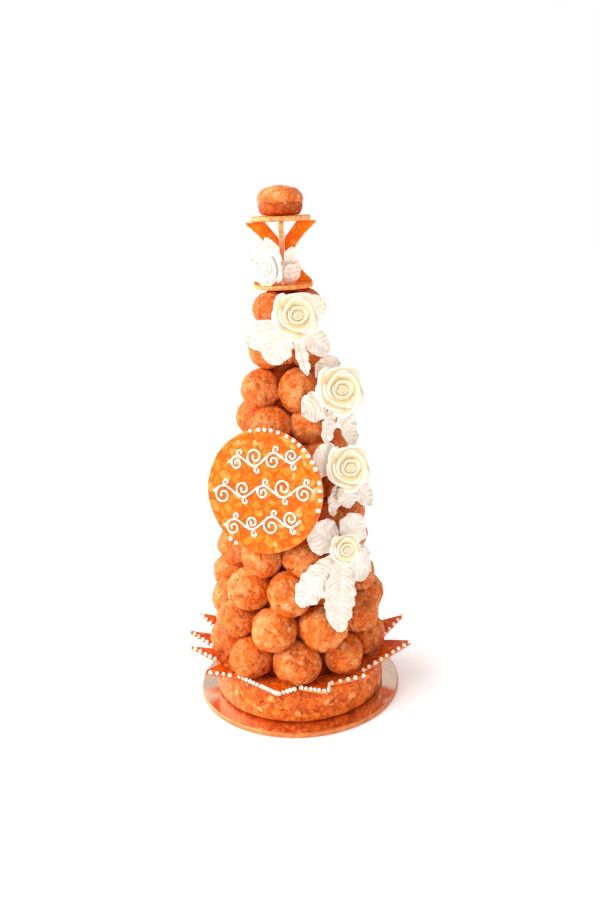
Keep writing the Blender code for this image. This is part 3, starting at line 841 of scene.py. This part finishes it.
def spiral(x, y, radius, start, turns, way):
    """A piped curl that winds in from radius to a fifth of it."""
    share = np.linspace(0, 1, 27)
    a = math.radians(start) + way * turns * math.tau * share
    r = radius * (1 - 0.80 * share)
    return np.column_stack((x + r * np.cos(a), y + r * np.sin(a)))


SCROLL_ROWS = (  # height on the plaque, half length, rise to the right, curls
    (0.029, 0.036, 0.16, 4), (0.000, 0.050, 0.08, 5), (-0.029, 0.038, 0.16, 4),
)


def flourishes():
    """Generic piped scrollwork on the plaque: three vines with a large and a small curl at each bend."""
    strokes = []
    for row, (height, half, rise, curls) in enumerate(SCROLL_ROWS):
        x = np.linspace(-half, half, VINE_STEPS + 1)
        bends = 0.0052 * np.sin((x / half + 1) * math.pi * curls / 2)
        vine = np.column_stack((x, height + x * rise + bends))
        strokes.append(vine)
        for k in range(curls):
            x, y = vine[int((k + 0.5) * VINE_STEPS / curls)]
            side = -1 if k % 2 else 1
            radius = 0.0062 + 0.0012 * ((k * 5 + row * 2) % 3)
            strokes.append(spiral(x, y - side * radius, radius, 90 * side, 1.35, side))
            strokes.append(spiral(x + 0.0030, y + side * 0.0036, 0.0036, -90 * side, 0.95, -side))
    return strokes


def make_plaque():
    """The almond plaque with piped scrolls and pearls along its upper right rim."""
    axes = plaque_frame()
    centre, across, up, facing = axes
    face = PLAQUE_THICKNESS / 2
    rng = random.Random(15)
    angles = np.arange(180) * math.tau / 180
    wavy = PLAQUE_RADIUS * (0.994 + 0.005 * np.sin(3 * angles + 1) * np.cos(5 * angles))
    outline = np.column_stack((np.cos(angles) * wavy, np.sin(angles) * wavy))
    points, faces = slab(outline, PLAQUE_THICKNESS * 0.95, 0.0014, 0.0016)
    ripple = clouds(points, 0.014, 21, 3)
    points = points + UP * (ripple * 0.0002)[:, None]
    make_piece("plaque_disc", CLEAR_NOUGATINE, "nougatine", "plaque", placed(points, *axes), faces,
               np.clip(0.7 + 0.4 * ripple, 0, 1), rim_share(points, outline, 0.0007) * 0.5)

    slices = Solid()
    for k in range(PLAQUE_ALMONDS):
        reach, turn = PLAQUE_RADIUS * 0.90 * math.sqrt(rng.random()), rng.uniform(0, math.tau)
        length = ALMOND_LENGTH * rng.uniform(0.55, 0.9)
        spot = (across * math.cos(turn) + up * math.sin(turn)) * reach + facing * (face - 0.0004)
        points, faces, crust = almond(centre + spot, across, up, facing, length,
                                      length * rng.uniform(0.5, 0.7), 100 + k)
        slices.add(points, faces, crust=crust)
    slices.make("plaque_almonds", [ALMOND], "nougatine")

    piping = Solid()
    for number, stroke in enumerate(flourishes()):
        flat = smoothed(stroke, 2)
        flat = flat * min(1, PLAQUE_RADIUS * 0.93 / np.linalg.norm(flat, axis=1).max())
        radii = PIPING_RADIUS * (1 + 0.22 * np.sin(np.arange(len(flat)) * 0.7 + number))
        radii[-3:] *= 1.5
        path = np.column_stack((flat, np.full(len(flat), face + PIPING_RADIUS * 0.6)))
        piping.add(*tube(placed(path, *axes), radii, 8))
    piping.make("plaque_scrolls", [ICING], "sugar_paste")

    pearls = Solid()
    for turn in PLAQUE_PEARLS:
        a = math.radians(turn + rng.uniform(-1, 1))
        radius = PEARL_RADIUS * rng.uniform(0.9, 1.1)
        spot = (across * math.cos(a) + up * math.sin(a)) * (PLAQUE_RADIUS - 0.0016)
        add_pearl(pearls, centre + spot + facing * (face + radius * 0.45), radius, facing)
    pearls.make("plaque_pearls", [ICING], "sugar_paste")


# ---- sugar roses
def rose_petal(span, middle, lip, rise, cup, seed):
    """One petal as a grid in the rose's own frame: span and middle in degrees, the rest as shares of R."""
    rng = random.Random(seed)
    wave, phase, peak = rng.uniform(0.010, 0.024), rng.uniform(0, math.tau), rng.uniform(-0.3, 0.3)
    middle += rng.uniform(-12, 12)
    lip *= rng.uniform(0.94, 1.03)
    rise *= rng.uniform(0.95, 1.04)
    v, u = np.meshgrid(np.linspace(0, 1, 13), np.linspace(-1, 1, 27), indexing="ij")
    swing = u * math.radians(span) / 2
    a = math.radians(middle) + swing
    roll = np.maximum(0, v - 0.80) / 0.20
    bend = np.cos(np.minimum(np.abs(swing - peak * 0.5), 1.3))
    straight = 0.5 + 0.5 * np.minimum(1, math.cos(math.radians(34)) / bend)
    out = lip * (0.42 + 0.54 * v**1.15 + 0.04 * roll**1.5) * (1 - (1 - straight) * v)
    out *= 1 + (0.19 - 0.07 * cup) * u + wave * np.sin(5 * u + phase) * v
    out *= 1 - 0.13 * np.abs(u) ** 6 * v
    climb = 0.02 + (rise * (1 - 0.30 * np.abs(u) ** 4) - 0.02) * v**0.60 - 0.03 * roll**2
    return np.stack((out * np.sin(a), out * np.cos(a), climb), axis=-1)


def rose_heart(rise):
    """The rolled bud at the middle: one ribbon wound in a spiral."""
    v, u = np.meshgrid(np.linspace(0, 1, 7), np.linspace(0, 1, 72), indexing="ij")
    a = u * 1.75 * math.tau
    out = (0.040 + 0.165 * u) * (0.90 + 0.10 * v)
    top = rise + 0.02 * np.cos(a * 1.5) - 0.06 * (1 - u)
    return np.stack((out * np.sin(a), out * np.cos(a), 0.05 + (top - 0.05) * v), axis=-1)


ROSE_RINGS = (  # petals, angle each spans, lip radius, rise, how open, turn of the first
    (2, 235, 0.40, 0.585, 0.1, 20), (3, 180, 0.76, 0.54, 0.4, 85), (5, 126, 1.09, 0.38, 1.0, 70),
)


ROSE_DOMES = (  # distance from the middle and height, as shares of R: inside the bud and under the petals
    [(0, 0.05), (0.15, 0.05), (0.20, 0.30), (0.17, 0.46), (0.10, 0.50), (0, 0.51)],
    [(0, -0.02), (0.30, -0.02), (0.62, 0.02), (0.80, 0.10), (0.58, 0.24), (0.28, 0.38), (0, 0.42)],
)


def rose_shape(radius):
    """Every petal of one rose and the domes inside it, in its own frame: (points, faces, relief value, tone),
    with painted shade towards the heart.
    """
    grids = [rose_heart(0.56)]
    for number, (count, span, lip, rise, cup, first) in enumerate(ROSE_RINGS):
        for k in range(count):
            grids.append(rose_petal(span, first + k * 360 / count, lip, rise, cup, number * 10 + k))
    made = []
    for grid in grids:
        rows, columns = grid.shape[:2]
        share = np.repeat(np.linspace(0, 1, rows), columns)
        points, faces = sheet(grid * radius, PETAL_THICKNESS)
        # Cream on inner faces and in the depths, white at the lips: partly the paste's ivory, partly painted
        # shade inside and a painted highlight on the lips.
        cream_and_shade = np.clip((0.93 - share) / 0.06, 0, 1) * 0.95
        # Painted shade: lower towards the petal's foot, deep in the rose.
        depth_shade = np.clip(0.2 + share, 0, 1)
        middle = rows // 2 * columns + columns // 2
        first, second = (np.linalg.norm(points[at, :2]) for at in (middle, middle + rows * columns))
        halves = (cream_and_shade, cream_and_shade * 0.25) if first <= second else (cream_and_shade * 0.25, cream_and_shade)
        made.append((points, faces, np.concatenate((depth_shade, depth_shade)), np.concatenate(halves)))
    for dome in ROSE_DOMES:
        # The domes inside the rose get the cream and some painted shade.
        made.append((*revolved(smoothed(dome, 4) * radius, 40), 0.6, 0.95))
    return made


def make_rose(name, node, centre, facing, radius, stem, creaminess=1.0):
    """A sugar rose facing outwards on its short stem."""
    x_axis = unit(np.cross(UP, facing))
    y_axis = np.cross(facing, x_axis)
    solid = Solid()
    for points, faces, crust, tone in rose_shape(radius):
        solid.add(placed(points, centre, x_axis, y_axis, facing), faces, crust=crust, tone=tone * creaminess)
    path = [centre - facing * stem * s for s in np.linspace(0.94, 0, 6)]
    solid.add(*tube(path, [ROSE_STEM * radius] * 6, 20), crust=0.4, tone=0.4)
    solid.make(name, [PETAL], "sugar_petal", [node])


def spray_point(across, height, lift):
    """A point over the tower's face, across and up from the spray's middle line."""
    distance = cone_radius(height) + lift - across**2 / (2 * SPRAY_BEND)
    parts = np.broadcast_arrays(distance, across, height)
    axes = (outward(SPRAY_AZIMUTH), sideways(SPRAY_AZIMUTH), UP)
    return sum(np.multiply.outer(part, axis) for part, axis in zip(parts, axes))


def leaf_half_width(share, width):
    """Half width along a leaf, with a toothed rim."""
    tooth = np.where(share > 0.1, 1.04 - 0.075 * ((share * LEAF_TEETH) % 1.0) ** 1.5, 1.0)
    rounded = np.sqrt(np.clip(1 - (np.maximum(share - 0.86, 0) / 0.145) ** 2, 0, 1))
    return width / 2 * np.sin(math.pi * (0.10 + 0.82 * share**1.2)) ** 0.75 * tooth * rounded


def leaf_grid(length, width, seed):
    """Across, along, lift and a relief value over one pleated leaf; the relief value is 0 in the grooves,
    where the paint puts shade.
    """
    stations = max(40, int(length / 0.00062))
    share, side = np.meshgrid(np.linspace(0, 1, stations), np.linspace(-1, 1, 25), indexing="ij")
    from_rib = np.abs(side)
    across = leaf_half_width(share, width) * side
    along = length * share - from_rib * width * 0.34 * share * (1 - share) * 0.8
    flat = np.stack((across.ravel(), along.ravel(), np.full(across.size, seed * 0.01)), axis=1)
    uneven = clouds(flat, 0.012, 500 + seed, 2).reshape(across.shape)
    turns = (along - np.abs(across) * 0.45 - across**2 * 28) / LEAF_PLEAT + seed * 0.37 + uneven * 0.7
    flute = np.abs(np.sin(turns * math.pi)) ** 0.9
    fade = np.clip(from_rib * 3.5, 0, 1) * np.clip(share * 8, 0, 1)
    vein = -np.exp(-((side / 0.07) ** 2)) * 0.0003
    curl = clouds(flat, 0.015, 300 + seed, 2).reshape(across.shape) * 0.0020
    ruffle = np.sin(along / 0.0105 * math.tau + seed * 1.7) * side**2 * np.sign(side + 1e-9) * 0.0018
    lift = flute * 0.00125 * fade + vein + (curl + ruffle) * np.clip(share * 3, 0, 1)
    lift += from_rib * LEAF_FOLD + 0.0022 * np.clip((share - 0.7) / 0.3, 0, 1) ** 2
    # Low in the grooves and along the midrib, where the leaf gets painted shade.
    crust = np.clip(1 - (1 - flute) * fade * (0.7 + uneven) + vein * 400, 0, 1)
    return across, along, lift, crust


def make_sprays():
    """The four roses of the cascade and the leaves under them."""
    number = 0
    for index, (across, height, radius, leaves) in enumerate(SPRAYS, 1):
        tilt = math.radians(ROSE_FACE_TILT)
        facing = outward(SPRAY_AZIMUTH) * math.cos(tilt) + UP * math.sin(tilt)
        centre = spray_point(across, height, 0) + facing * ROSE_LIFT
        make_rose(f"rose_bloom_{index}", f"rose_{index}", centre, facing, radius, ROSE_LIFT - 4 * GAP)
        for direction, reach, width, layer in leaves:
            number += 1
            make_leaf(number, (across, height), direction, reach, width, layer, radius * LEAF_START)


def make_leaf(number, root, direction, reach, width, layer, start):
    """One leaf lying over the choux, from under its rose outwards."""
    a = math.radians(direction)
    across, along, lift, crust = leaf_grid(reach - start, width, number)
    x = root[0] + math.sin(a) * (start + along) + math.cos(a) * across
    z = root[1] + math.cos(a) * (start + along) - math.sin(a) * across
    points, faces = sheet(spray_point(x, z, LEAF_LIFT + LEAF_LAYER_STEP * layer + lift), LEAF_THICKNESS)
    make_piece(f"leaf_blade_{number:02d}", LEAF, "sugar_paste", f"leaf_{number:02d}", points, faces,
               np.tile(crust.ravel(), 2), 0.06 * (number % 4))


# ---- top ornament
def fin_outline(foot, head):
    """Outline of one fin as (distance from the axis, height)."""
    share = np.linspace(0, 1, 17)
    parts = []
    for end, end_radius, opening in ((foot, FIN_FOOT_RADIUS, FIN_FOOT_OPENING),
                                     (head, FIN_TOP_RADIUS, FIN_TOP_OPENING)):
        z = FIN_WAIST_HEIGHT + (end - FIN_WAIST_HEIGHT) * share
        outer = FIN_WAIST_RADIUS + (end_radius - FIN_WAIST_RADIUS) * np.minimum(1, share / 0.93) ** 1.5
        inner = FIN_THROAT + (opening - FIN_THROAT) * np.maximum(0, share - 0.48) / 0.52
        parts.append((np.column_stack((outer, z)), np.column_stack((inner, z))))
    (low_outer, low_inner), (high_outer, high_inner) = parts
    return np.concatenate((low_outer[::-1], high_outer[1:], high_inner[::-1], low_inner[1:]))


def make_ornament():
    """Collar, four fins and the round plate, all of clear nougatine."""
    angles = np.arange(120) * math.tau / 120
    for name, node in (("collar_disc", "collar"), ("upper_disc", "top_plate")):
        low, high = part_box(node)
        radius = (high[0] - 0.0002) * (1 - 0.008 * (1 + np.sin(7 * angles)))
        outline = np.column_stack((np.cos(angles) * radius, np.sin(angles) * radius))
        points, faces = slab(outline, (high[2] - low[2]) * 0.96, 0.0012, 0.0013)
        wave = clouds(points, 0.010, 31, 2)
        moved = points + UP * (wave * 0.00012 + (high[2] + low[2]) / 2)[:, None]
        make_piece(name, FIN_NOUGATINE, "nougatine", node, moved, faces, np.clip(0.65 + wave * 0.5, 0, 1),
                   rim_share(points, outline, 0.0012))
    outline = fin_outline(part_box("collar")[1][2] + GAP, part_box("top_plate")[0][2] - GAP)
    for number in range(4):
        azimuth = number * 90
        points, faces = slab(outline, FIN_THICKNESS * 0.95, 0.0012, 0.0010)
        points[:, 2] *= np.clip(0.42 + (points[:, 1] - FIN_THIN_BELOW) / 0.026, 0.42, 1)
        world = placed(points, np.zeros(3), outward(azimuth), UP, -sideways(azimuth))
        wave = clouds(world, 0.009, 51, 2)
        world = world + sideways(azimuth) * (wave * 0.0002)[:, None]
        make_piece(f"fin_sheet_{number + 1}", FIN_NOUGATINE, "nougatine", f"fin_{number + 1}", world, faces,
                   np.clip(0.65 + wave * 0.5, 0, 1), rim_share(points, outline, 0.0008))


def make_crowning_chou():
    """The choux bun on top: a pale domed cap over a darker body, partly its own browner bake and partly
    painted shade under the cap.
    """
    low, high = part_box("crowning_chou")
    foot, top = low[2], high[2]
    rows = [(0, foot), (0.68, foot), (0.86, foot + 0.0016), (0.935, foot + 0.0052), *BUN_PROFILE,
            (0.36, top - 0.0008), (0, top)]
    profile = smoothed([(share * CROWNING_CHOU_RADIUS, z) for share, z in rows], 5)
    points, faces = revolved(profile, 110)
    lump = clouds(points, 0.016, 91, 2)
    grain = clouds(points, 0.002, 93, 2)
    wrinkle = np.abs(clouds(points, 0.006, 95, 2))
    change = np.minimum(lump * 0.0006 + wrinkle * 0.0008 - 0.0005, 0) + grain * 0.00012
    points = points + unit(points - (0, 0, 0.478)) * change[:, None]
    points[:, 2] = np.clip(points[:, 2], foot, top)
    # Below the seam tone rises and the relief value falls: partly browner bake, partly painted shade under
    # the cap.
    cap = np.clip((points[:, 2] - BUN_SEAM) / 0.0015, 0, 1)
    crust = np.clip(0.08 + wrinkle * 0.3 + grain * 0.4 + cap * 0.6, 0, 1)
    make_piece("crowning_bun", CHOUX, "choux_crust", "crowning_chou", points, faces, crust, 1 - cap)


def upright_petal(solid, azimuth, distance, foot, length, width, lean, seed):
    """A broad pleated petal standing on the collar; lean is how far it opens outwards for its length."""
    across, along, lift, crust = leaf_grid(length, width, seed)
    reach = distance + lift * 0.6 + lean * along + 0.10 * along**2 / length - 6.0 * across**2
    height = foot + along * math.sqrt(1 - lean**2)
    parts = ((reach, outward(azimuth)), (across, sideways(azimuth)), (height, UP))
    points, faces = sheet(sum(np.multiply.outer(part, axis) for part, axis in parts), LEAF_THICKNESS)
    solid.add(points, faces, crust=np.tile(np.maximum(crust.ravel(), 0.6), 2), tone=0.05)


TOP_PETALS = (  # the piece each goes with, azimuth, distance, foot, length, width, lean
    (1, -38, 0.0110, 0.4220, 0.0290, 0.0190, 0.16), (1, -78, 0.0170, 0.4110, 0.0270, 0.0260, 0.42),
    (1, -20, 0.0150, 0.4105, 0.0260, 0.0150, 0.20),
    (2, 30, 0.0115, 0.4100, 0.0320, 0.0160, 0.05), (2, 40, 0.0125, 0.4105, 0.0180, 0.0150, 0.30),
    (2, 20, 0.0145, 0.4105, 0.0175, 0.0130, 0.22),
)


def make_top_flowers():
    """The rose between the fins and the petals that stand round it."""
    facing = outward(TOP_ROSE_FACING)
    centre = outward(TOP_ROSE_AZIMUTH) * TOP_ROSE_DISTANCE + UP * TOP_ROSE_HEIGHT
    make_rose("top_bloom", "top_rose", centre, facing, TOP_ROSE_RADIUS, TOP_ROSE_STEM, 0.25)
    for number in (1, 2):
        solid = Solid()
        for seed, (group, *petal) in enumerate(TOP_PETALS):
            if group == number:
                upright_petal(solid, *petal, 40 + seed)
        solid.make(f"top_blade_{number}", [LEAF], "sugar_paste", [f"top_leaf_{number}"])


# ---- studio
CAMERA_PLACE = (0.0091, -0.8058, 0.4834)
CAMERA_DOWN = 16.14
CAMERA_ROLL = -2.28
CAMERA_LENS = 34.88
FLOOR_HALF = 6.0
SURROUND_LIGHT = 0.77
KEYS = (  # strength, softness, azimuth and height in degrees: a front left light and one from behind left
    (2.6, 44, -62, 38), (3.2, 55, -112, 24),
)


def make_studio():
    """Pale floor, bright even surround, two big soft lights from the left, and the photograph's camera."""
    scene = bpy.context.scene
    corners = [(x * FLOOR_HALF, y * FLOOR_HALF, 0) for x, y in ((-1, -1), (1, -1), (1, 1), (-1, 1))]
    floor_mesh = bpy.data.meshes.new("floor")
    floor_mesh.from_pydata(corners, [], [(0, 1, 2, 3)])
    floor = bpy.data.objects.new("floor", floor_mesh)
    scene.collection.objects.link(floor)
    paint = Paint("floor_paper")
    greys = [(at, (grey, grey, grey, 1)) for at, grey in ((0.0, 0.93), (1.0, 0.96))]
    paint.put({"Base Color": paint.ramp(paint.noise(0.5), *greys), "Roughness": 0.9})
    paint.put({"Specular IOR Level": 0.1, "Emission Color": (1, 1, 1, 1), "Emission Strength": 0.15})
    floor_mesh.materials.append(paint.material)

    world = bpy.data.worlds.new("studio")
    scene.world = world
    world.use_nodes = True
    nodes, links = world.node_tree.nodes, world.node_tree.links
    seen = nodes.new("ShaderNodeLightPath").outputs["Is Camera Ray"]
    level = nodes.new("ShaderNodeMapRange")
    level.inputs["To Min"].default_value = SURROUND_LIGHT
    level.inputs["To Max"].default_value = 1.0
    links.new(seen, level.inputs["Value"])
    links.new(level.outputs["Result"], nodes["Background"].inputs["Strength"])
    nodes["Background"].inputs["Color"].default_value = (1, 1, 1, 1)

    for number, (strength, softness, azimuth, height) in enumerate(KEYS, 1):
        lamp = bpy.data.lights.new(f"key_{number}", "SUN")
        lamp.energy = strength
        lamp.angle = math.radians(softness)
        lamp.color = (1.0, 0.98, 0.95)
        holder = bpy.data.objects.new(f"key_{number}", lamp)
        toward = outward(azimuth) * math.cos(math.radians(height)) + UP * math.sin(math.radians(height))
        holder.rotation_euler = Vector(-toward).to_track_quat("-Z", "Y").to_euler()
        scene.collection.objects.link(holder)

    camera = bpy.data.cameras.new("camera")
    camera.sensor_width = 36
    camera.lens = CAMERA_LENS
    camera.clip_start = 0.01
    holder = bpy.data.objects.new("camera", camera)
    pitch, roll = math.radians(90 - CAMERA_DOWN), math.radians(CAMERA_ROLL)
    holder.matrix_world = (Matrix.Translation(CAMERA_PLACE) @ Matrix.Rotation(pitch, 4, "X")
                           @ Matrix.Rotation(roll, 4, "Z"))
    scene.collection.objects.link(holder)
    scene.camera = holder
    scene.view_settings.view_transform = "Standard"


make_studio()
make_board()
make_drum_almonds(*make_drum())
make_crown()
make_choux()
make_plaque()
make_sprays()
make_ornament()
make_crowning_chou()
make_top_flowers()
